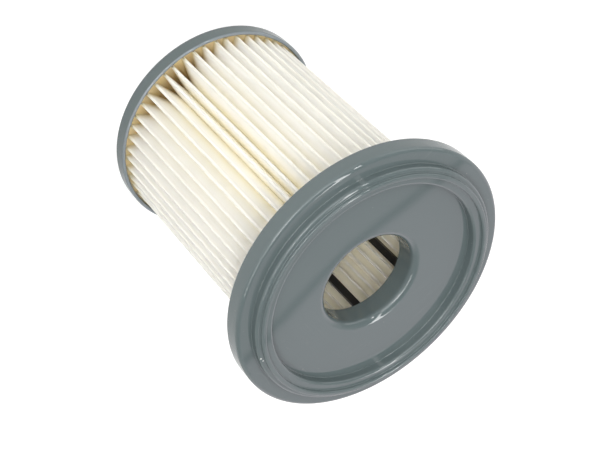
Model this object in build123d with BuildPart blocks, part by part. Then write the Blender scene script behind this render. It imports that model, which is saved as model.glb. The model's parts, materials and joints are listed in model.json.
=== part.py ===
from build123d import *
from math import asin, degrees, sin
import os

# Pleated cartridge filter of a bagless vacuum cleaner, standing on its closed end.
# Millimetres. The axis is Z, and the origin is the centre of the closed end's outer face.

# Pleated media: a folded paper band that closes on itself
pleat_count = 54
pleat_tip_radius = 45.0
paper_thickness = 0.5
fold_gap = 0.2                # between the two layers of paper at each fold
pleat_start_angle = -2.6      # degrees from +X to the first tip
tip_stray = 0.45              # degrees that the tips wander from an even pitch
root_stray = 0.2              # degrees that the inner folds wander
tip_wander_step = 2.4         # radians of wander from one pleat to the next
root_wander_step = 1.7
media_height = 112.0

# Core cage: bars between two rings, which keep the pleats off the middle
cage_inner_radius = 29.6
cage_wall = 1.8
bar_count = 8
bar_width = 3.0
bar_start_angle = -65.3
cage_ring_height = 4.0

# Clearances
cage_to_media = 0.3
cage_to_cap = 0.3
media_to_cup = 0.8
potting_gap = 0.1

# Potting: the adhesive bed in which each end of the media is set
potting_depth = 3.0

# Closed end cap
base_thickness = 2.0
boss_rise = 2.0
boss_wall = 2.0
cup_wall = 1.6
cup_height = 7.1
base_edge_round = 1.5

# Open end cap: plate, seal ring with a bead on it, flange with a skirt, collar round the hole
plate_thickness = 2.8
bore_radius = 20.0
bore_depth = 10.6
bore_lip_round = 2.7
collar_wall = 2.0
spigot_height = 3.0
spigot_wall = 2.0
dish_hole_drop = 0.6          # the plate inside the ring lies this far below the flange at the hole
dish_ring_drop = 0.5          # and this far at the ring
ring_inner_radius = 45.5
ring_height = 3.25
inner_shoulder = 3.35
bead_width = 2.05
bead_rise = 1.35
outer_shoulder = 1.9
flange_ledge = 6.2
skirt_height = 7.4
skirt_wall = 2.0
ring_round = 1.0
bead_round = 0.6
flange_edge_round = 1.5

# Places that follow from the sizes
cage_outer_radius = cage_inner_radius + cage_wall
pleat_root_radius = cage_outer_radius + cage_to_media
boss_radius = cage_inner_radius - cage_to_cap
cup_inner_radius = pleat_tip_radius + media_to_cup
cup_radius = cup_inner_radius + cup_wall
bead_inner_radius = ring_inner_radius + inner_shoulder
bead_outer_radius = bead_inner_radius + bead_width
ring_outer_radius = bead_outer_radius + outer_shoulder
flange_radius = ring_outer_radius + flange_ledge
media_bottom = base_thickness + potting_depth
media_top = media_bottom + media_height
plate_bottom = media_top + potting_depth
face_level = plate_bottom + plate_thickness
skirt_bottom = face_level - skirt_height
collar_bottom = face_level - bore_depth
ring_top = face_level + ring_height
bead_top = ring_top + bead_rise

os.makedirs("parts", exist_ok=True)


def fold_centres():
    """The centre of each fold's arc, in order round the axis: tip, root, tip, root and so on."""
    pitch = 360 / pleat_count
    bend = fold_gap / 2 + paper_thickness
    centres = []
    for pleat in range(pleat_count):
        start = pleat_start_angle + pleat * pitch
        tip_angle = start + tip_stray * sin(tip_wander_step * pleat)
        root_angle = start + pitch / 2 + root_stray * sin(root_wander_step * pleat)
        for angle, radius in ((tip_angle, pleat_tip_radius - bend), (root_angle, pleat_root_radius + bend)):
            centres.append(Vector(radius, 0).rotate(Axis.Z, angle))
    return centres


def folded_outline(tip_bend, root_bend):
    """One face of the folded paper. Its walls are the crossing tangents of the folds' arcs.

    The paper goes round the larger bends in an arc, and is creased flat inside the smaller ones.
    """
    centres = fold_centres()
    bends = [tip_bend, root_bend] * pleat_count
    arrivals, departures = [], []
    for index, centre in enumerate(centres):
        following = centres[(index + 1) % len(centres)]
        reach = following - centre
        tilt = asin((tip_bend + root_bend) / reach.length)
        turn = 1 if index % 2 == 0 else -1
        wall = reach.normalized().rotate(Axis.Z, turn * degrees(tilt))
        aside = wall.rotate(Axis.Z, -90 * turn)
        departures.append(centre + aside * bends[index])
        arrivals.append(following - aside * bends[(index + 1) % len(bends)])
    for index, centre in enumerate(centres):
        outward = centre.normalized() if index % 2 == 0 else -centre.normalized()
        if bends[index] == max(tip_bend, root_bend):
            ThreePointArc(arrivals[index - 1], centre + outward * bends[index], departures[index])
        else:
            Line(arrivals[index - 1], departures[index])
        Line(departures[index], arrivals[index])


def round_corner(profile, radius, level, rounding):
    """Rounds the corner of a profile that lies at this radius and level."""
    corner = profile.vertices().sort_by_distance((radius, level, 0))[0]
    fillet(corner, rounding)


# Pleated media
with BuildPart() as pleated_media:
    with BuildSketch(Plane.XY.offset(media_bottom)):
        with BuildLine():
            folded_outline(fold_gap / 2 + paper_thickness, fold_gap / 2)
        make_face()
        with BuildLine():
            folded_outline(fold_gap / 2, fold_gap / 2 + paper_thickness)
        make_face(mode=Mode.SUBTRACT)
    extrude(amount=media_height)
pleated_media.part.label = "pleated_media"
export_step(pleated_media.part, "parts/pleated_media.step")

# Core cage
with BuildPart() as core_cage:
    with BuildSketch(Plane.XY.offset(base_thickness)):
        with PolarLocations((cage_inner_radius + cage_outer_radius) / 2, bar_count, bar_start_angle):
            Rectangle(2 * cage_wall, bar_width)
        Circle(cage_outer_radius, mode=Mode.INTERSECT)
        Circle(cage_inner_radius, mode=Mode.SUBTRACT)
    extrude(amount=plate_bottom - base_thickness)
    with BuildSketch(Plane.XY.offset(base_thickness), Plane.XY.offset(plate_bottom - cage_ring_height)):
        Circle(cage_outer_radius)
        Circle(cage_inner_radius, mode=Mode.SUBTRACT)
    extrude(amount=cage_ring_height)
core_cage.part.label = "core_cage"
export_step(core_cage.part, "parts/core_cage.step")

# Potting of the two ends
with BuildPart() as closed_end_potting:
    with BuildSketch(Plane.XY.offset(base_thickness)):
        Circle(cup_inner_radius - potting_gap)
        Circle(cage_outer_radius + potting_gap, mode=Mode.SUBTRACT)
    extrude(amount=potting_depth)
closed_end_potting.part.label = "closed_end_potting"
export_step(closed_end_potting.part, "parts/closed_end_potting.step")

with BuildPart() as open_end_potting:
    with BuildSketch(Plane.XY.offset(media_top)):
        Circle(cup_inner_radius - potting_gap)
        Circle(cage_outer_radius + potting_gap, mode=Mode.SUBTRACT)
    extrude(amount=potting_depth)
open_end_potting.part.label = "open_end_potting"
export_step(open_end_potting.part, "parts/open_end_potting.step")

# Closed end cap: a cup with a raised middle that locates the cage
with BuildPart() as closed_end_cap:
    with BuildSketch(Plane.XZ) as cup_profile:
        with BuildLine():
            Polyline(
                (0, boss_rise),
                (boss_radius - boss_wall, boss_rise),
                (boss_radius - boss_wall, 0),
                (cup_radius, 0),
                (cup_radius, cup_height),
                (cup_inner_radius, cup_height),
                (cup_inner_radius, base_thickness),
                (boss_radius, base_thickness),
                (boss_radius, base_thickness + boss_rise),
                (0, base_thickness + boss_rise),
                close=True,
            )
        make_face()
        round_corner(cup_profile, cup_radius, 0, base_edge_round)
    revolve(axis=Axis.Z)
closed_end_cap.part.label = "closed_end_cap"
export_step(closed_end_cap.part, "parts/closed_end_cap.step")

# Open end cap: the turned face and skirt, then the cup wall and spigot on its underside
with BuildPart() as open_end_cap:
    with BuildSketch(Plane.XZ) as cap_profile:
        with BuildLine():
            Polyline(
                (bore_radius, collar_bottom),
                (bore_radius, face_level - dish_hole_drop),
                (ring_inner_radius, face_level - dish_ring_drop),
                (ring_inner_radius, ring_top),
                (bead_inner_radius, ring_top),
                (bead_inner_radius, bead_top),
                (bead_outer_radius, bead_top),
                (bead_outer_radius, ring_top),
                (ring_outer_radius, ring_top),
                (ring_outer_radius, face_level),
                (flange_radius, face_level),
                (flange_radius, skirt_bottom),
                (flange_radius - skirt_wall, skirt_bottom),
                (flange_radius - skirt_wall, plate_bottom),
                (bore_radius + collar_wall, plate_bottom),
                (bore_radius + collar_wall, collar_bottom),
                close=True,
            )
        make_face()
        round_corner(cap_profile, bore_radius, face_level - dish_hole_drop, bore_lip_round)
        round_corner(cap_profile, ring_inner_radius, ring_top, ring_round)
        round_corner(cap_profile, bead_inner_radius, bead_top, bead_round)
        round_corner(cap_profile, bead_outer_radius, bead_top, bead_round)
        round_corner(cap_profile, ring_outer_radius, ring_top, ring_round)
        round_corner(cap_profile, flange_radius, face_level, flange_edge_round)
    revolve(axis=Axis.Z)
    with BuildSketch(Plane.XY.offset(skirt_bottom)):
        Circle(cup_radius)
        Circle(cup_inner_radius, mode=Mode.SUBTRACT)
    extrude(amount=plate_bottom - skirt_bottom)
    with BuildSketch(Plane.XY.offset(plate_bottom - spigot_height)):
        Circle(boss_radius)
        Circle(boss_radius - spigot_wall, mode=Mode.SUBTRACT)
    extrude(amount=spigot_height)
open_end_cap.part.label = "open_end_cap"
export_step(open_end_cap.part, "parts/open_end_cap.step")
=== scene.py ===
import json
from math import cos, exp, pi, radians, sin, tan

import bmesh
import bpy
from mathutils import Matrix, Vector


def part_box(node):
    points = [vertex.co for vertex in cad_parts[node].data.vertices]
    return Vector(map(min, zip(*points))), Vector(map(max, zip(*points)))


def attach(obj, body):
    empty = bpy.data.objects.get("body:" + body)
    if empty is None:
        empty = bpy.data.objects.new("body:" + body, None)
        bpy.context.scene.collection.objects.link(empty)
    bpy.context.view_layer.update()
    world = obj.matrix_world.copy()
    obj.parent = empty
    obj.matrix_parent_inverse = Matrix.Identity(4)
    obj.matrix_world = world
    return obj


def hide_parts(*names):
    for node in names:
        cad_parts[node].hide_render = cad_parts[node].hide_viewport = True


# Pleated cartridge filter of a bagless vacuum cleaner, standing on its closed end. Metres, axis along Z.

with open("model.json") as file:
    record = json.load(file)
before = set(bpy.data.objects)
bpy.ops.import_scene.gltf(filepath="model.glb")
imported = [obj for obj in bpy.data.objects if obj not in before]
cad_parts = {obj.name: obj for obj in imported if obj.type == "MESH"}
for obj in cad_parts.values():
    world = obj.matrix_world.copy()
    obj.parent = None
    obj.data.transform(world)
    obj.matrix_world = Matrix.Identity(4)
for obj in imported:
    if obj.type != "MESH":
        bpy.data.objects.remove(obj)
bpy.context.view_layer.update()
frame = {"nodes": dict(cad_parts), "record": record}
mm = 0.001

# Sizes read from the frame
mounts = {mount["name"]: mount for mount in frame["record"]["mounts"]}
open_cap_low, open_cap_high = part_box("open_end_cap")
closed_cap_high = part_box("closed_end_cap")[1]
paper_low, paper_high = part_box("pleated_media")
cage_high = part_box("core_cage")[1]
closed_glue_low, closed_glue_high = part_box("closed_end_potting")
open_glue_low, open_glue_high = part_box("open_end_potting")
bore_radius = mounts["outlet_bore"]["dims"]["r_mm"] * mm
ring_outer_radius = mounts["seal_ring"]["dims"]["r_mm"] * mm
face_level = mounts["flange_seat"]["pos_m"][2]
flange_radius = open_cap_high.x
bead_top = open_cap_high.z
collar_bottom = open_cap_low.z
cup_radius = closed_cap_high.x
cup_height = closed_cap_high.z
plate_bottom = open_glue_high.z
cage_outer_radius = cage_high.x

# Open end cap
skirt_height = 7.4 * mm
skirt_wall = 2.0 * mm
bore_lip_round = 2.7 * mm
collar_wall = 2.0 * mm
spigot_height = 3.0 * mm
spigot_wall = 2.0 * mm
dish_hole_drop = 0.6 * mm
dish_ring_drop = 0.5 * mm
ring_inner_radius = 45.5 * mm
bead_inner_radius = 48.85 * mm
bead_outer_radius = 50.9 * mm
ring_height = 3.25 * mm
ring_round = 1.0 * mm
bead_round = 0.6 * mm
flange_edge_round = 1.5 * mm

# Closed end cap
base_thickness = 2.0 * mm
boss_rise = 2.0 * mm
boss_radius = 29.3 * mm
boss_wall = 2.0 * mm
cup_wall = 1.6 * mm
base_edge_round = 1.5 * mm
cup_rim_round = 0.7 * mm

# Small roundings of a moulded edge and of an inside corner, and how finely a turned piece is made
rim_round = 0.4 * mm
inside_round = 0.3 * mm
lathe_segments = 288
sharp_angle = radians(40)

# Folded paper
pleat_count = 54
pleat_tip_radius = 45.0 * mm
pleat_root_radius = 31.7 * mm
paper_thickness = 0.5 * mm
fold_gap = 0.2 * mm
pleat_start = radians(-2.6)
tip_stray = radians(0.45)
root_stray = radians(0.2)
tip_wander_step = 2.4
root_wander_step = 1.7
potting_gap = 0.1 * mm


def lathe_profile(corners, closed=True):
    """Points along a profile of (radius, level, rounding) corners, with arcs at the corners.

    Each straight run has a point close to both of its ends, which keeps the shading flat between them.
    """
    arc_step = radians(13)
    hold = 0.06 * mm
    points = []
    for index, (radius, level, rounding) in enumerate(corners):
        here = Vector((radius, level))
        if not closed and index in (0, len(corners) - 1):
            points.append([here])
            continue
        arriving = (here - Vector(corners[index - 1][:2])).normalized()
        leaving = (Vector(corners[(index + 1) % len(corners)][:2]) - here).normalized()
        turn = arriving.angle_signed(leaving)
        reach = rounding * tan(abs(turn) / 2)
        start = here - arriving * reach
        side = Vector((arriving.y, -arriving.x)) if turn > 0 else Vector((-arriving.y, arriving.x))
        centre = start + side * rounding
        steps = max(2, round(abs(turn) / arc_step))
        spoke = start - centre
        arc = []
        for step in range(steps + 1):
            swing = -turn * step / steps
            arc.append(centre + Matrix.Rotation(swing, 2) @ spoke)
        points.append(arc)
    runs = points if not closed else points + points[:1]
    profile = []
    for arc, following in zip(runs, runs[1:]):
        profile += arc
        gap = following[0] - arc[-1]
        if gap.length > 4 * hold:
            profile += [arc[-1] + gap.normalized() * hold, following[0] - gap.normalized() * hold]
    if not closed:
        profile += runs[-1]
    return profile


def lathe(name, profile, closed=True):
    """Turns a profile about Z into a closed shell. A point on the axis becomes a pole."""
    on_axis = 0.0001 * mm
    work = bmesh.new()
    rings = []
    for point in profile:
        if point.x < on_axis:
            rings.append([work.verts.new((0, 0, point.y))] * lathe_segments)
            continue
        ring = []
        for segment in range(lathe_segments):
            angle = 2 * pi * segment / lathe_segments
            ring.append(work.verts.new((point.x * cos(angle), point.x * sin(angle), point.y)))
        rings.append(ring)
    pairs = list(zip(rings, rings[1:]))
    if closed:
        pairs.append((rings[-1], rings[0]))
    for lower, upper in pairs:
        for segment in range(lathe_segments):
            after = (segment + 1) % lathe_segments
            loop = [lower[segment], lower[after], upper[after], upper[segment]]
            work.faces.new(list(dict.fromkeys(loop)))
    return finish_mesh(name, work)


def finish_mesh(name, work):
    """Makes an object of a mesh under construction, with its faces outwards and smooth."""
    bmesh.ops.recalc_face_normals(work, faces=work.faces)
    mesh = bpy.data.meshes.new(name)
    work.to_mesh(mesh)
    work.free()
    mesh.shade_smooth()
    mesh.set_sharp_from_angle(angle=sharp_angle)
    piece = bpy.data.objects.new(name, mesh)
    bpy.context.scene.collection.objects.link(piece)
    return piece


def open_cap():
    """Flanged cap with the outlet hole, the seal ring and its bead, a skirt, a cup wall and a spigot."""
    ring_top = face_level + ring_height
    skirt_bottom = face_level - skirt_height
    cup_inner = cup_radius - cup_wall
    spigot_bottom = plate_bottom - spigot_height
    corners = [
        (bore_radius, collar_bottom, rim_round),
        (bore_radius, face_level - dish_hole_drop, bore_lip_round),
        (ring_inner_radius, face_level - dish_ring_drop, inside_round),
        (ring_inner_radius, ring_top, ring_round),
        (bead_inner_radius, ring_top, inside_round),
        (bead_inner_radius, bead_top, bead_round),
        (bead_outer_radius, bead_top, bead_round),
        (bead_outer_radius, ring_top, inside_round),
        (ring_outer_radius, ring_top, ring_round),
        (ring_outer_radius, face_level, inside_round),
        (flange_radius, face_level, flange_edge_round),
        (flange_radius, skirt_bottom, rim_round),
        (flange_radius - skirt_wall, skirt_bottom, rim_round),
        (flange_radius - skirt_wall, plate_bottom, inside_round),
        (cup_radius, plate_bottom, inside_round),
        (cup_radius, skirt_bottom, rim_round),
        (cup_inner, skirt_bottom, rim_round),
        (cup_inner, plate_bottom, inside_round),
        (boss_radius, plate_bottom, inside_round),
        (boss_radius, spigot_bottom, rim_round),
        (boss_radius - spigot_wall, spigot_bottom, rim_round),
        (boss_radius - spigot_wall, plate_bottom, inside_round),
        (bore_radius + collar_wall, plate_bottom, inside_round),
        (bore_radius + collar_wall, collar_bottom, rim_round),
    ]
    return lathe("open_end_moulding", lathe_profile(corners))


def closed_cap():
    """Shallow cup whose middle is raised to locate the cage."""
    cup_inner = cup_radius - cup_wall
    corners = [
        (0, boss_rise, 0),
        (boss_radius - boss_wall, boss_rise, inside_round),
        (boss_radius - boss_wall, 0, rim_round),
        (cup_radius, 0, base_edge_round),
        (cup_radius, cup_height, cup_rim_round),
        (cup_inner, cup_height, cup_rim_round),
        (cup_inner, base_thickness, inside_round),
        (boss_radius, base_thickness, inside_round),
        (boss_radius, base_thickness + boss_rise, rim_round),
        (0, base_thickness + boss_rise, 0),
    ]
    return lathe("closed_end_moulding", lathe_profile(corners, closed=False), closed=False)


class Field:
    """A value in a node tree. Arithmetic on it adds Math nodes to the tree."""

    def __init__(self, tree, socket):
        self.tree = tree
        self.socket = socket

    def math(self, operation, *others, clamp=False):
        node = self.tree.nodes.new("ShaderNodeMath")
        node.operation = operation
        node.use_clamp = clamp
        for slot, value in zip(node.inputs, (self, *others)):
            plug(value, slot)
        return Field(self.tree, node.outputs[0])

    def __add__(self, other):
        return self.math("ADD", other)

    def __sub__(self, other):
        return self.math("SUBTRACT", other)

    def __mul__(self, other):
        return self.math("MULTIPLY", other)

    def __truediv__(self, other):
        return self.math("DIVIDE", other)

    def __mod__(self, other):
        return self.math("FLOORED_MODULO", other)

    def less_from(self, number):
        return (self * -1) + number

    def floor(self):
        return self.math("FLOOR")

    def sine(self):
        return self.math("SINE")

    def cosine(self):
        return self.math("COSINE")

    def share(self):
        return self.math("ADD", 0, clamp=True)


def plug(value, slot):
    """Feeds a socket from a field, or sets it to a plain value."""
    if isinstance(value, Field):
        value.tree.links.new(value.socket, slot)
    else:
        slot.default_value = value


def add_node(tree, kind, settings=None, **inputs):
    """A new node with its settings, and its inputs fed by name."""
    node = tree.nodes.new(kind)
    for name, value in (settings or {}).items():
        setattr(node, name, value)
    for name, value in inputs.items():
        plug(value, node.inputs[name.replace("_", " ")])
    return node


def folded_paper_tree(material):
    """Geometry nodes for a paper band that is folded between two radii and closes on itself."""
    tree = bpy.data.node_groups.new("folded_paper_band", "GeometryNodeTree")
    tree.interface.new_socket("Geometry", in_out="OUTPUT", socket_type="NodeSocketGeometry")
    numbers = ("Tip Radius", "Root Radius", "Fold Bend", "Thickness", "Bottom", "Height", "Wall Length",
               "Start", "Tip Stray", "Root Stray", "Bow", "Sway", "Flare", "Flare Reach")
    for name in ("Pleats", "Rows", "Seed"):
        tree.interface.new_socket(name, in_out="INPUT", socket_type="NodeSocketInt")
    for name in numbers:
        tree.interface.new_socket(name, in_out="INPUT", socket_type="NodeSocketFloat")
    entry = tree.nodes.new("NodeGroupInput")
    given = {socket.name: Field(tree, socket) for socket in entry.outputs if socket.name}
    wall_steps = 16
    fold_share = 0.28
    nudge = 0.0005
    weld = 0.001 * mm

    # Which wall of which pleat a column of the grid lies on, and how far it is from that pleat's tip
    index = Field(tree, tree.nodes.new("GeometryNodeInputIndex").outputs[0])
    column = (index / given["Rows"] + nudge).floor()
    row = index - column * given["Rows"]
    wall = (column / wall_steps + nudge).floor()
    along = column / wall_steps - wall
    inward = (wall % 2).less_from(1)
    side = inward * 2 - 1
    from_tip = inward * along + inward.less_from(1) * along.less_from(1)
    tip = ((wall + 1) / 2 + nudge).floor()
    root = (wall / 2 + nudge).floor()

    # Angles of that pleat's tip and root
    pitch = (given["Pleats"] / (2 * pi)).math("POWER", -1)
    tip_wander = ((tip % given["Pleats"]) * tip_wander_step).sine()
    root_wander = (root * root_wander_step).sine()
    tip_angle = given["Start"] + tip * pitch + given["Tip Stray"] * tip_wander
    root_angle = given["Start"] + (root + 0.5) * pitch + given["Root Stray"] * root_wander

    # The outline of one wall: round the tip, straight along the wall, round the root
    bend = given["Fold Bend"]
    tip_radius = given["Tip Radius"] - given["Thickness"] / 2
    root_radius = given["Root Radius"] + given["Thickness"] / 2
    tip_turn = (from_tip / fold_share).share() * (pi / 2)
    straight = ((from_tip - fold_share) / (1 - 2 * fold_share)).share()
    root_turn = ((from_tip - (1 - fold_share)) / fold_share).share() * (pi / 2)
    depth = tip_radius - root_radius - bend * 2
    radius = tip_radius - bend * tip_turn.cosine().less_from(1) - depth * straight - bend * root_turn.sine()
    span = side * (root_angle - tip_angle) - bend / tip_radius - bend / root_radius
    bowed = given["Bow"] * (straight * pi).sine() / tip_radius
    away = bend * tip_turn.sine() / tip_radius + span * straight - bowed
    away = away + bend * root_turn.cosine().less_from(1) / root_radius

    # Rows lie closer together towards the two ends, where the tips flare into the glue
    rise = (row / (given["Rows"] - 1) * pi).cosine().less_from(1) / 2
    from_end = rise.math("MINIMUM", rise.less_from(1)) * given["Height"]
    spread = (from_end / given["Flare Reach"]).less_from(1).share()
    radius = radius + given["Flare"] * spread * spread * from_tip.less_from(1)

    # Each tip sways a little between its two potted ends
    sway = given["Sway"] * from_tip.less_from(1) / tip_radius
    for waves, weight in ((1, 1.0), (2, 0.5), (3, 0.25)):
        chance = tree.nodes.new("FunctionNodeRandomValue")
        plug(-weight, chance.inputs[2])
        plug(weight, chance.inputs[3])
        plug(tip % given["Pleats"], chance.inputs["ID"])
        plug(given["Seed"] + waves, chance.inputs["Seed"])
        part = sway * Field(tree, chance.outputs[1]) * (rise * (pi * waves)).sine()
        away = away + side * part
    angle = tip_angle + side * away
    place = add_node(tree, "ShaderNodeCombineXYZ", X=radius * angle.cosine(), Y=radius * angle.sine(),
                     Z=given["Bottom"] + given["Height"] * rise)

    # Fold a flat grid to that outline, close its seam and give it the paper's thickness
    grid = add_node(tree, "GeometryNodeMeshGrid", Vertices_X=given["Pleats"] * (2 * wall_steps) + 1,
                    Vertices_Y=given["Rows"])
    folded = add_node(tree, "GeometryNodeSetPosition", Geometry=Field(tree, grid.outputs["Mesh"]),
                      Position=Field(tree, place.outputs[0]))
    unrolled = add_node(tree, "ShaderNodeCombineXYZ", X=(wall + along) * given["Wall Length"],
                        Y=given["Height"] * rise)
    on_corners = {"data_type": "FLOAT_VECTOR", "domain": "CORNER"}
    marked = add_node(tree, "GeometryNodeStoreNamedAttribute", on_corners, Name="sheet",
                      Geometry=Field(tree, folded.outputs[0]), Value=Field(tree, unrolled.outputs[0]))
    seamed = add_node(tree, "GeometryNodeMergeByDistance", Distance=weld,
                      Geometry=Field(tree, marked.outputs[0]))
    normal = Field(tree, tree.nodes.new("GeometryNodeInputNormal").outputs[0])
    inset = add_node(tree, "ShaderNodeVectorMath", {"operation": "SCALE"}, Scale=given["Thickness"] / -2)
    plug(normal, inset.inputs[0])
    inner = add_node(tree, "GeometryNodeSetPosition", Geometry=Field(tree, seamed.outputs[0]),
                     Offset=Field(tree, inset.outputs[0]))
    outer = add_node(tree, "GeometryNodeExtrudeMesh", Mesh=Field(tree, inner.outputs[0]),
                     Offset_Scale=given["Thickness"], Individual=False)
    turned = add_node(tree, "GeometryNodeFlipFaces", Mesh=Field(tree, inner.outputs[0]))
    joined = tree.nodes.new("GeometryNodeJoinGeometry")
    for layer in (turned, outer):
        tree.links.new(layer.outputs[0], joined.inputs[0])
    sealed = add_node(tree, "GeometryNodeMergeByDistance", Distance=weld,
                      Geometry=Field(tree, joined.outputs[0]))
    real = add_node(tree, "GeometryNodeRealizeInstances", Geometry=Field(tree, sealed.outputs[0]))
    coloured = add_node(tree, "GeometryNodeSetMaterial", Material=material,
                        Geometry=Field(tree, real.outputs[0]))
    leave = tree.nodes.new("NodeGroupOutput")
    tree.links.new(coloured.outputs[0], leave.inputs[0])
    return tree


def shaped_by(name, tree, values):
    """An object whose mesh is what a geometry tree makes of these values."""
    piece = bpy.data.objects.new(name, bpy.data.meshes.new(name))
    bpy.context.scene.collection.objects.link(piece)
    modifier = piece.modifiers.new("shape", "NODES")
    modifier.node_group = tree
    for item in tree.interface.items_tree:
        if item.in_out == "INPUT":
            modifier[item.identifier] = values[item.name]
    graph = bpy.context.evaluated_depsgraph_get()
    mesh = bpy.data.meshes.new_from_object(piece.evaluated_get(graph))
    piece.modifiers.clear()
    piece.data = mesh
    mesh.shade_smooth()
    return piece


def folded_paper(material):
    """The filter paper: one band in narrow pleats."""
    values = {
        "Pleats": pleat_count,
        "Rows": 25,
        "Seed": 4,
        "Tip Radius": pleat_tip_radius,
        "Root Radius": pleat_root_radius,
        "Fold Bend": (fold_gap + paper_thickness) / 2,
        "Thickness": paper_thickness,
        "Bottom": paper_low.z,
        "Height": paper_high.z - paper_low.z,
        "Wall Length": pleat_tip_radius - pleat_root_radius,
        "Start": pleat_start,
        "Tip Stray": tip_stray,
        "Root Stray": root_stray,
        "Bow": 0.2 * mm,
        "Sway": 0.14 * mm,
        "Flare": 0.6 * mm,
        "Flare Reach": 7.0 * mm,
    }
    return shaped_by("folded_filter_paper", folded_paper_tree(material), values)


def glue_bed(name, low, high, open_side):
    """A ring of cast adhesive that creeps up the folds of the paper set into it."""
    inner_radius = cage_outer_radius + potting_gap
    outer_radius = high.x
    creep = 0.9 * mm
    creep_length = 0.7 * mm
    most_creep = 1.3 * creep
    creep_past_tips = 0.3 * creep
    spokes_per_pleat = 16
    spokes = pleat_count * spokes_per_pleat
    rings = 22
    pitch = 2 * pi / pleat_count
    level, back_level = (high.z, low.z) if open_side > 0 else (low.z, high.z)
    work = bmesh.new()
    top = []
    for ring in range(rings + 1):
        radius = inner_radius + (outer_radius - inner_radius) * ring / rings
        depth = (pleat_tip_radius - radius) / (pleat_tip_radius - pleat_root_radius)
        half_fold = pitch / 2 * min(1, max(0, depth))
        row = []
        for spoke in range(spokes):
            angle = pleat_start + 2 * pi * spoke / spokes
            pleat = round((angle - pleat_start) / pitch)
            tip = pleat_start + pleat * pitch + tip_stray * sin(tip_wander_step * (pleat % pleat_count))
            off = abs(angle - tip)
            near = abs(off - half_fold) * radius
            beyond = abs(pitch - off - half_fold) * radius
            rise = min(most_creep, creep * (exp(-near / creep_length) + exp(-beyond / creep_length)))
            if radius > pleat_tip_radius:
                rise = creep_past_tips
            place = (radius * cos(angle), radius * sin(angle), level + open_side * rise)
            row.append(work.verts.new(place))
        top.append(row)
    lower = []
    for row in (top[-1], top[0]):
        lower.append([work.verts.new((vert.co.x, vert.co.y, back_level)) for vert in row])
    loops = top + lower
    for first, second in zip(loops, loops[1:] + loops[:1]):
        for spoke in range(spokes):
            after = (spoke + 1) % spokes
            work.faces.new((first[spoke], first[after], second[after], second[spoke]))
    return finish_mesh(name, work)


def new_material(name, **constants):
    """A material with a Principled shader whose constant sockets are set by name."""
    material = bpy.data.materials.new(name)
    material.use_nodes = True
    shader = material.node_tree.nodes["Principled BSDF"]
    for socket, value in constants.items():
        shader.inputs[socket.replace("_", " ")].default_value = value
    return material, material.node_tree, shader


def object_coordinates(tree):
    """Where a point of the surface lies in the filter's own frame."""
    return Field(tree, tree.nodes.new("ShaderNodeTexCoord").outputs["Object"])


def blend_colours(tree, share, first, second):
    """A colour between two others."""
    mix = tree.nodes.new("ShaderNodeMix")
    mix.data_type = "RGBA"
    plug(share, mix.inputs[0])
    plug(first, mix.inputs[6])
    plug(second, mix.inputs[7])
    return Field(tree, mix.outputs[2])


def noise(tree, vector, scale, detail=2.0):
    """Smooth noise between nought and one."""
    node = add_node(tree, "ShaderNodeTexNoise", Vector=vector, Scale=scale, Detail=detail)
    return Field(tree, node.outputs[0])


def stretched(tree, vector, stretch):
    """Coordinates scaled along each axis."""
    node = add_node(tree, "ShaderNodeVectorMath", {"operation": "MULTIPLY"})
    plug(vector, node.inputs[0])
    plug(stretch, node.inputs[1])
    return Field(tree, node.outputs[0])


def shader_group(name, inputs, outputs):
    """A shader group with a Vector and named number sockets. Gives the group, its inputs and its way out."""
    group = bpy.data.node_groups.new(name, "ShaderNodeTree")
    group.interface.new_socket("Vector", in_out="INPUT", socket_type="NodeSocketVector")
    for label in inputs:
        group.interface.new_socket(label, in_out="INPUT", socket_type="NodeSocketFloat")
    for label in outputs:
        group.interface.new_socket(label, in_out="OUTPUT", socket_type="NodeSocketFloat")
    entry = group.nodes.new("NodeGroupInput")
    given = {socket.name: Field(group, socket) for socket in entry.outputs if socket.name}
    return group, given, group.nodes.new("NodeGroupOutput")


def moulded_skin():
    """Flow marks and fine grain that moulded plastic and cast glue have in their skin."""
    grain_height = 0.1
    inputs = ("Flow Scale", "Grain Scale", "Grain Share")
    group, given, leave = shader_group("moulded_skin", inputs, ("Shade", "Height"))
    flow = noise(group, given["Vector"], given["Flow Scale"], detail=2.0)
    grain = noise(group, given["Vector"], given["Grain Scale"], detail=5.0)
    shade = flow * given["Grain Share"].less_from(1) + grain * given["Grain Share"]
    plug(shade, leave.inputs["Shade"])
    plug(flow + grain * given["Grain Share"] * grain_height, leave.inputs["Height"])
    return group


def handling_marks():
    """Hairline scratches in patches, two ways across, and specks of dust in a few cells of a pattern."""
    hair_fineness = 90
    patch_start, patch_contrast = 0.56, 9
    bare_cells = 0.75
    speck_softness = 0.02
    inputs = ("Scratch Scale", "Dust Scale", "Dust Size")
    group, given, leave = shader_group("handling_marks", inputs, ("Scratches", "Dust"))
    scratches = []
    for stretch, patch_scale in (((1.0, 0.06, 0.3), 0.05), ((0.05, 1.0, 0.3), 0.07)):
        strands = noise(group, stretched(group, given["Vector"], stretch), given["Scratch Scale"], detail=1.0)
        hair = ((strands - 0.5).math("ABSOLUTE") * hair_fineness).less_from(1).share()
        patches = noise(group, given["Vector"], given["Scratch Scale"] * patch_scale)
        scratches.append(hair * ((patches - patch_start) * patch_contrast).share())
    plug(scratches[0].math("MAXIMUM", scratches[1]), leave.inputs["Scratches"])
    cells = add_node(group, "ShaderNodeTexVoronoi", Vector=given["Vector"], Scale=given["Dust Scale"])
    chance = add_node(group, "ShaderNodeSeparateColor", Color=Field(group, cells.outputs["Color"]))
    dusty = ((Field(group, chance.outputs["Red"]) - bare_cells) / (1 - bare_cells)).share()
    size = given["Dust Size"] * dusty
    specks = (size - Field(group, cells.outputs["Distance"])) / speck_softness
    plug(specks.share(), leave.inputs["Dust"])
    return group


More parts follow.
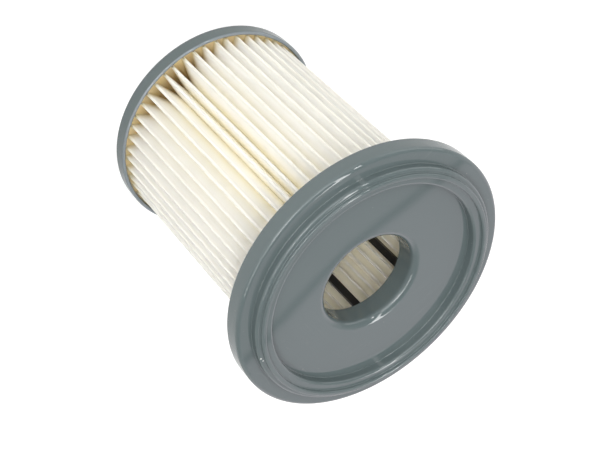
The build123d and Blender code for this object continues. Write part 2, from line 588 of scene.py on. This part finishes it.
def place_group(tree, group, vector, **values):
    """A group in a material's tree, with its own values. Its outputs come back as fields by name."""
    node = tree.nodes.new("ShaderNodeGroup")
    node.node_tree = group
    plug(vector, node.inputs["Vector"])
    for name, value in values.items():
        plug(value, node.inputs[name.replace("_", " ")])
    return {socket.name: Field(tree, socket) for socket in node.outputs}


def bump(tree, shader, height, distance):
    """Raises the surface by a height field."""
    node = add_node(tree, "ShaderNodeBump", Height=height, Distance=distance)
    tree.links.new(node.outputs[0], shader.inputs["Normal"])


def height_above(tree, vector):
    """The Z of a coordinate."""
    return Field(tree, add_node(tree, "ShaderNodeSeparateXYZ", Vector=vector).outputs["Z"])


def axis_distance(tree, vector):
    """The distance of a coordinate from the Z axis."""
    parts = add_node(tree, "ShaderNodeSeparateXYZ", Vector=vector)
    across, ahead = Field(tree, parts.outputs["X"]), Field(tree, parts.outputs["Y"])
    return (across * across + ahead * ahead).math("SQRT")


def spot(tree, vector, place, reach):
    """A round mark about one place, with a soft edge."""
    edge = 0.6
    node = add_node(tree, "ShaderNodeVectorMath", {"operation": "DISTANCE"})
    plug(vector, node.inputs[0])
    plug(place, node.inputs[1])
    return (Field(tree, node.outputs["Value"]) / reach).less_from(1 + edge).share()


def cap_plastic(skin, marks):
    """Polished blue-grey plastic, with a painted highlight along the cup's rim and two specks of lint on the
    seal ring.
    """
    deep_grey, light_grey = (0.099, 0.125, 0.127, 1), (0.109, 0.136, 0.138, 1)
    rim_highlight_grey = (0.26, 0.29, 0.32, 1)
    lint_white = (0.62, 0.64, 0.62, 1)
    lint_specks = (((0.04887, -0.01818, 0.12599), 0.28 * mm), ((0.0489, -0.0165, 0.12605), 0.24 * mm))
    rim_highlight_reach, rim_highlight_strength = 0.5 * mm, 0.7
    dust_strength, scratch_strength = 0.1, 0.03
    polish, flow_roughness, scratch_roughness, lint_roughness = 0.015, 0.02, 0.05, 0.4
    material, tree, shader = new_material("cap_plastic", IOR=1.5)
    where = object_coordinates(tree)
    surface = place_group(tree, skin, where, Flow_Scale=45.0, Grain_Scale=900.0, Grain_Share=0.35)
    wear = place_group(tree, marks, where, Scratch_Scale=420.0, Dust_Scale=260.0, Dust_Size=0.09)
    pale = wear["Dust"] * dust_strength + wear["Scratches"] * scratch_strength
    for place, reach in lint_specks:
        pale = pale.math("MAXIMUM", spot(tree, where, place, reach))
    colour = blend_colours(tree, surface["Shade"], deep_grey, light_grey)
    # Painted highlight: a paler band at the top of the cup's rim, where the lamps catch its rounding.
    rim_highlight = ((height_above(tree, where) - cup_height).math("ABSOLUTE") / rim_highlight_reach).less_from(1.2).share()
    colour = blend_colours(tree, rim_highlight * rim_highlight_strength, colour, rim_highlight_grey)
    plug(blend_colours(tree, pale, colour, lint_white), shader.inputs["Base Color"])
    worn = wear["Scratches"] * scratch_roughness + pale * lint_roughness
    plug(surface["Shade"] * flow_roughness + worn + polish, shader.inputs["Roughness"])
    bump(tree, shader, surface["Height"], 0.004 * mm)
    return material


def filter_paper(low, high):
    """Translucent cream paper: fibrous, with painted shade on its tips and deep in its folds, and a tan glue
    stain at both ends that is partly painted shade.
    """
    shaded_tip_deep, shaded_tip_pale = (0.84, 0.80, 0.685, 1), (0.88, 0.845, 0.74, 1)
    deep_wall, pale_wall = (0.980, 0.968, 0.921, 1), (0.987, 0.977, 0.941, 1)
    shaded_inner_fold = (0.955, 0.935, 0.855, 1)
    glue_stain_and_shade = (0.62, 0.50, 0.27, 1)
    tip_shade_depth = 2.0 * mm
    fold_start, fold_reach = 6.0 * mm, 7.0 * mm
    soak_and_shade_reach, soak_and_shade_edge, soak_and_shade_strength = 6.0 * mm, 2.0 * mm, 0.9
    long_fibres, cross_fibres, cloud_scale, soak_and_shade_scale = 6000.0, 5000.0, 160.0, 420.0
    material, tree, shader = new_material(
        "filter_paper", Roughness=0.85, Specular_IOR_Level=0.0,
        Subsurface_Weight=1.0, Subsurface_Radius=(1.0, 1.0, 1.0), Subsurface_Scale=1.8 * mm)
    where = object_coordinates(tree)
    sheet = Field(tree, add_node(tree, "ShaderNodeAttribute", {"attribute_name": "sheet"}).outputs["Vector"])
    lengthwise = noise(tree, stretched(tree, sheet, (1.0, 0.15, 1.0)), long_fibres, detail=3.0)
    crosswise = noise(tree, stretched(tree, sheet, (0.2, 1.0, 1.0)), cross_fibres, detail=3.0)
    clouds = noise(tree, sheet, cloud_scale, detail=3.0)
    fibres = lengthwise * 0.5 + crosswise * 0.5
    mottle = fibres * 0.4 + clouds * 0.6
    # Painted shade: the tips, which catch the most light, are painted darker and creamier than the walls.
    tips = blend_colours(tree, mottle, shaded_tip_deep, shaded_tip_pale)
    walls = blend_colours(tree, mottle, deep_wall, pale_wall)
    depth = axis_distance(tree, where).less_from(pleat_tip_radius)
    colour = blend_colours(tree, (depth / tip_shade_depth).share(), tips, walls)
    # Painted shade: darker and yellower deep in the folds, towards their roots.
    colour = blend_colours(tree, ((depth - fold_start) / fold_reach).share(), colour, shaded_inner_fold)
    # A tan glue stain soaking up from both ends, which is also painted shade near the caps.
    level = height_above(tree, where)
    from_end = (level - low).math("MINIMUM", level.less_from(high))
    edge = noise(tree, where, soak_and_shade_scale, detail=3.0) * soak_and_shade_edge
    soak_and_shade = ((from_end - edge) / soak_and_shade_reach).less_from(1).share()
    colour = blend_colours(tree, soak_and_shade * soak_and_shade * soak_and_shade_strength, colour, glue_stain_and_shade)
    plug(colour, shader.inputs["Base Color"])
    bump(tree, shader, fibres, 0.003 * mm)
    return material


def cage_plastic(skin, marks):
    """Black plastic, a little dusty."""
    deep_black, worn_black = (0.010, 0.010, 0.011, 1), (0.022, 0.021, 0.021, 1)
    dust_grey = (0.45, 0.43, 0.38, 1)
    dust_strength, scratch_strength = 0.3, 0.1
    polish, grain_roughness, scratch_roughness = 0.28, 0.2, 0.2
    material, tree, shader = new_material("cage_plastic")
    where = object_coordinates(tree)
    surface = place_group(tree, skin, where, Flow_Scale=120.0, Grain_Scale=2500.0, Grain_Share=0.6)
    wear = place_group(tree, marks, where, Scratch_Scale=700.0, Dust_Scale=500.0, Dust_Size=0.1)
    colour = blend_colours(tree, surface["Shade"], deep_black, worn_black)
    pale = wear["Dust"] * dust_strength + wear["Scratches"] * scratch_strength
    plug(blend_colours(tree, pale, colour, dust_grey), shader.inputs["Base Color"])
    roughness = surface["Shade"] * grain_roughness + wear["Scratches"] * scratch_roughness + polish
    plug(roughness, shader.inputs["Roughness"])
    bump(tree, shader, surface["Height"], 0.05 * mm)
    return material


def potting_resin(skin):
    """Tan cast glue, with painted shade darkening it towards the roots of the folds."""
    deep_tan, pale_tan = (0.56, 0.44, 0.23, 1), (0.68, 0.56, 0.33, 1)
    valley_shade_brown = (0.28, 0.20, 0.085, 1)
    valley_shade_reach = 7.0 * mm
    polish, flow_roughness = 0.25, 0.25
    material, tree, shader = new_material(
        "potting_resin", Subsurface_Weight=0.6, Subsurface_Radius=(1.0, 0.75, 0.4), Subsurface_Scale=1.2 * mm)
    where = object_coordinates(tree)
    surface = place_group(tree, skin, where, Flow_Scale=180.0, Grain_Scale=1400.0, Grain_Share=0.3)
    colour = blend_colours(tree, surface["Shade"], deep_tan, pale_tan)
    # Painted shade: darker towards the axis, deep in the narrow valleys between the folds.
    inward = axis_distance(tree, where).less_from(pleat_tip_radius) / valley_shade_reach
    plug(blend_colours(tree, inward.share(), colour, valley_shade_brown), shader.inputs["Base Color"])
    plug(surface["Shade"] * flow_roughness + polish, shader.inputs["Roughness"])
    bump(tree, shader, surface["Height"], 0.1 * mm)
    return material


def panel(name, centre, across, along, radiance):
    """A flat soft light, from its centre and its two half-width vectors. The camera doesn't see it."""
    lamp = bpy.data.lights.new(name, "AREA")
    lamp.shape = "RECTANGLE"
    lamp.size = 2 * across.length
    lamp.size_y = 2 * along.length
    lamp.energy = radiance * pi * lamp.size * lamp.size_y
    holder = bpy.data.objects.new(name, lamp)
    bpy.context.scene.collection.objects.link(holder)
    facing = across.cross(along).normalized()
    turned = Matrix((across.normalized(), along.normalized(), facing)).transposed().to_4x4()
    holder.matrix_world = Matrix.Translation(centre) @ turned
    holder.visible_camera = False


def facing_strip(name, first, last, width, radiance):
    """A long light between two points, turned to the filter."""
    centre = (first + last) / 2
    along = (last - first) / 2
    away = centre - Vector((0, 0, face_level))
    across = along.cross(away).normalized() * width / 2
    panel(name, centre, across, along, radiance)


def ceiling(across, ahead, height=1.08):
    """A point of the ceiling, from its slopes along X and Y as seen from the open end's centre."""
    return Vector((across * height, ahead * height, face_level + height))


def lamps():
    """Strips overhead and on each side of the camera, and broad boxes in front, at one side and high up."""
    facing_strip("overhead_strip", ceiling(-0.02, 1.0), ceiling(-0.42, -0.45), width=0.085, radiance=10.5)
    facing_strip("right_strip", ceiling(0.02, -1.0), ceiling(0.98, -0.1), width=0.11, radiance=19.0)
    facing_strip("left_strip", ceiling(-1.2, -1.0), ceiling(-0.72, -0.42), width=0.12, radiance=13.0)
    boxes = (
        ("front_box", (-1.2, -1.1, 0.45), (1.2, -1.1, 0.45), 0.6, 0.8),
        ("side_box", (-1.3, 0.5, 0.45), (-1.3, -0.7, 0.45), 0.6, 1.4),
        ("camera_box", (-0.6, -0.95, 1.07), (0.6, -0.95, 1.07), 0.8, 3.35),
    )
    for name, first, last, width, radiance in boxes:
        facing_strip(name, Vector(first), Vector(last), width, radiance)


def surroundings():
    """Pale walls all round, dim overhead, and a brighter far wall with a dark joint across it."""
    overhead, horizon, horizon_fade, far_wall = 0.05, 0.6, 4, 1.0
    far_start, far_fade = 0.45, 0.35
    joint_slope, joint_tilt, joint_width = 0.781, 0.039, 0.0055
    dimmer_above_joint = 0.25
    neutral, far_tint = (1, 1, 1, 1), (1.0, 0.87, 0.94, 1)
    world = bpy.data.worlds.new("studio")
    bpy.context.scene.world = world
    world.use_nodes = True
    tree = world.node_tree
    tree.nodes.clear()
    ways = Field(tree, tree.nodes.new("ShaderNodeTexCoord").outputs["Generated"])
    way = add_node(tree, "ShaderNodeSeparateXYZ", Vector=ways)
    across, ahead, up = (Field(tree, way.outputs[axis]) for axis in "XYZ")
    low = (up * up).less_from(1).math("POWER", horizon_fade)
    far = ((ahead - far_start) / far_fade).share()
    over_joint = (up - ahead * joint_slope - across * joint_tilt) / joint_width
    joint = over_joint.math("ABSOLUTE").share()
    lit = joint.math("MAXIMUM", far.less_from(1))
    far = far * (over_joint.share() * dimmer_above_joint).less_from(1)
    path = tree.nodes.new("ShaderNodeLightPath")
    camera_ray = Field(tree, path.outputs["Is Camera Ray"])
    mirrored = Field(tree, path.outputs["Is Glossy Ray"])
    strength = ((low * horizon + far * far_wall + overhead) * lit).math("MAXIMUM", camera_ray)
    colour = blend_colours(tree, far * mirrored, neutral, far_tint)
    glow = add_node(tree, "ShaderNodeBackground", Color=colour, Strength=strength)
    leave = tree.nodes.new("ShaderNodeOutputWorld")
    tree.links.new(glow.outputs[0], leave.inputs[0])


def floor():
    """White floor that keeps the filter's shadow."""
    reach = 3.0
    floor_grey = (0.6, 0.6, 0.6, 1)
    glow_to_camera, glow_to_mirrors = 0.55, 0.25
    mesh = bpy.data.meshes.new("floor")
    corners = [(-reach, -reach, 0), (reach, -reach, 0), (reach, reach, 0), (-reach, reach, 0)]
    mesh.from_pydata(corners, [], [(0, 1, 2, 3)])
    plane = bpy.data.objects.new("floor", mesh)
    bpy.context.scene.collection.objects.link(plane)
    material = bpy.data.materials.new("white_floor")
    material.use_nodes = True
    tree = material.node_tree
    tree.nodes.clear()
    path = tree.nodes.new("ShaderNodeLightPath")
    mirrored = Field(tree, path.outputs["Is Glossy Ray"]) + Field(tree, path.outputs["Is Transmission Ray"])
    shown = Field(tree, path.outputs["Is Camera Ray"]) * glow_to_camera + mirrored * glow_to_mirrors
    matt = add_node(tree, "ShaderNodeBsdfDiffuse", Color=floor_grey)
    glow = add_node(tree, "ShaderNodeEmission", Strength=shown)
    both = tree.nodes.new("ShaderNodeAddShader")
    tree.links.new(matt.outputs[0], both.inputs[0])
    tree.links.new(glow.outputs[0], both.inputs[1])
    leave = tree.nodes.new("ShaderNodeOutputMaterial")
    tree.links.new(both.outputs[0], leave.inputs[0])
    mesh.materials.append(material)


def camera():
    """The photograph's viewpoint: over the open end, turned so that the filter lies aslant in the picture."""
    standpoint = Vector((0, -0.4395, 0.4524))
    lens = bpy.data.cameras.new("camera")
    lens.sensor_width = 36.0
    lens.lens = 86.29
    lens.shift_x = 0.1641
    lens.shift_y = -0.0523
    viewer = bpy.data.objects.new("camera", lens)
    bpy.context.scene.collection.objects.link(viewer)
    right = Vector((-0.71017, 0.51026, 0.48507))
    up = Vector((-0.70287, -0.47422, -0.53019))
    back = Vector((-0.04051, -0.71746, 0.69542))
    turned = Matrix((right, up, back)).transposed().to_4x4()
    viewer.matrix_world = Matrix.Translation(standpoint) @ turned
    bpy.context.scene.camera = viewer


def studio():
    """Light, floor and camera. Light bounces often between the folds of the pale paper."""
    bounces = 32
    bpy.context.scene.view_settings.view_transform = "Standard"
    bpy.context.scene.cycles.max_bounces = bounces
    bpy.context.scene.cycles.diffuse_bounces = bounces
    surroundings()
    floor()
    lamps()
    camera()


def dress(piece, node, material=None):
    """Lets a piece stand for a CAD node, with the given material if there is one."""
    if material:
        piece.data.materials.clear()
        piece.data.materials.append(material)
    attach(piece, "root")
    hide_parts(node)


# Materials, pieces and studio
skin = moulded_skin()
marks = handling_marks()
plastic = cap_plastic(skin, marks)
resin = potting_resin(skin)
paper = filter_paper(paper_low.z, paper_high.z)
dress(open_cap(), "open_end_cap", plastic)
dress(closed_cap(), "closed_end_cap", plastic)
dress(folded_paper(paper), "pleated_media")
closed_glue = glue_bed("closed_end_glue", closed_glue_low, closed_glue_high, open_side=1)
open_glue = glue_bed("open_end_glue", open_glue_low, open_glue_high, open_side=-1)
dress(closed_glue, "closed_end_potting", resin)
dress(open_glue, "open_end_potting", resin)
cage = frame["nodes"]["core_cage"]
cage.data.materials.clear()
cage.data.materials.append(cage_plastic(skin, marks))
studio()
